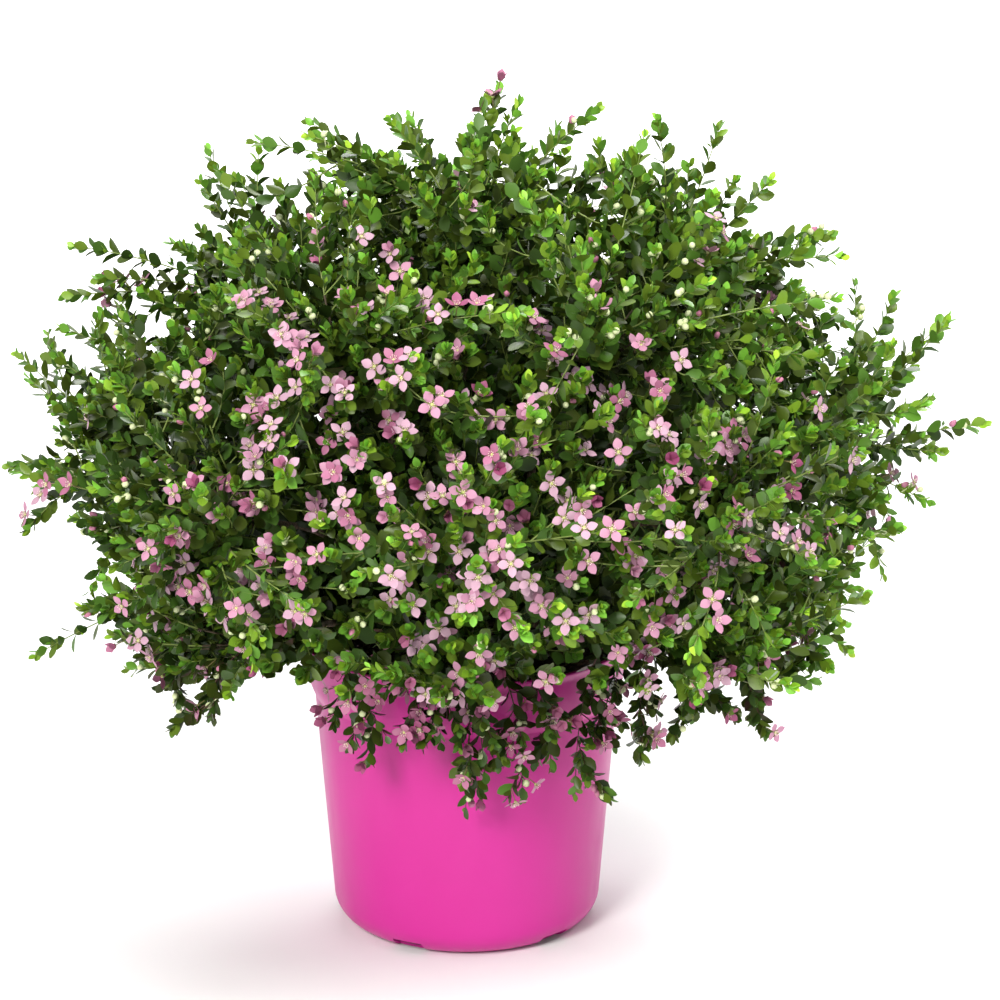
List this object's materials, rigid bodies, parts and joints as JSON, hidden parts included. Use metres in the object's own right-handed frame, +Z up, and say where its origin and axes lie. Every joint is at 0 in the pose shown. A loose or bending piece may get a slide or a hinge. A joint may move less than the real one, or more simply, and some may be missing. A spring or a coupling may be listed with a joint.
{
  "type": "potted red boronia shrub",
  "caption": "Round, densely twiggy flowering shrub with small opposite leaves and four-petalled pink flowers, standing in a round tapering nursery pot.",
  "frame": {"origin": "middle of the pot's flat underside", "axes": "+Z straight up through the pot's middle, -Y towards the viewer of the picture, +X to the viewer's right"},
  "size_m": [0.6154, 0.5899, 0.5302],
  "materials": {
    "pot_plastic": "smooth satin magenta plastic",
    "potting_mix": "rough moist potting mix",
    "bark": "thin grey-brown bark",
    "foliage": "smooth small green leaves with pink flowers"
  },
  "bodies": {
    "root": {"pot": "pot_plastic", "potting_mix": "potting_mix", "trunk": "bark", "bough_top": "bark", "bough_upper_1": "bark", "bough_upper_2": "bark", "bough_upper_3": "bark", "bough_upper_4": "bark", "bough_upper_5": "bark", "bough_middle_1": "bark", "bough_middle_2": "bark", "bough_middle_3": "bark", "bough_middle_4": "bark", "bough_middle_5": "bark", "bough_middle_6": "bark", "bough_middle_7": "bark", "bough_middle_8": "bark", "bough_skirt_1": "bark", "bough_skirt_2": "bark", "bough_skirt_3": "bark", "bough_skirt_4": "bark", "bough_skirt_5": "bark", "bough_skirt_6": "bark", "bough_skirt_7": "bark", "foliage_top": "foliage", "foliage_upper_1": "foliage", "foliage_upper_2": "foliage", "foliage_upper_3": "foliage", "foliage_upper_4": "foliage", "foliage_upper_5": "foliage", "foliage_middle_1": "foliage", "foliage_middle_2": "foliage", "foliage_middle_3": "foliage", "foliage_middle_4": "foliage", "foliage_middle_5": "foliage", "foliage_middle_6": "foliage", "foliage_middle_7": "foliage", "foliage_middle_8": "foliage", "foliage_skirt_1": "foliage", "foliage_skirt_2": "foliage", "foliage_skirt_3": "foliage", "foliage_skirt_4": "foliage", "foliage_skirt_5": "foliage", "foliage_skirt_6": "foliage", "foliage_skirt_7": "foliage"}
  },
  "joints": []
}
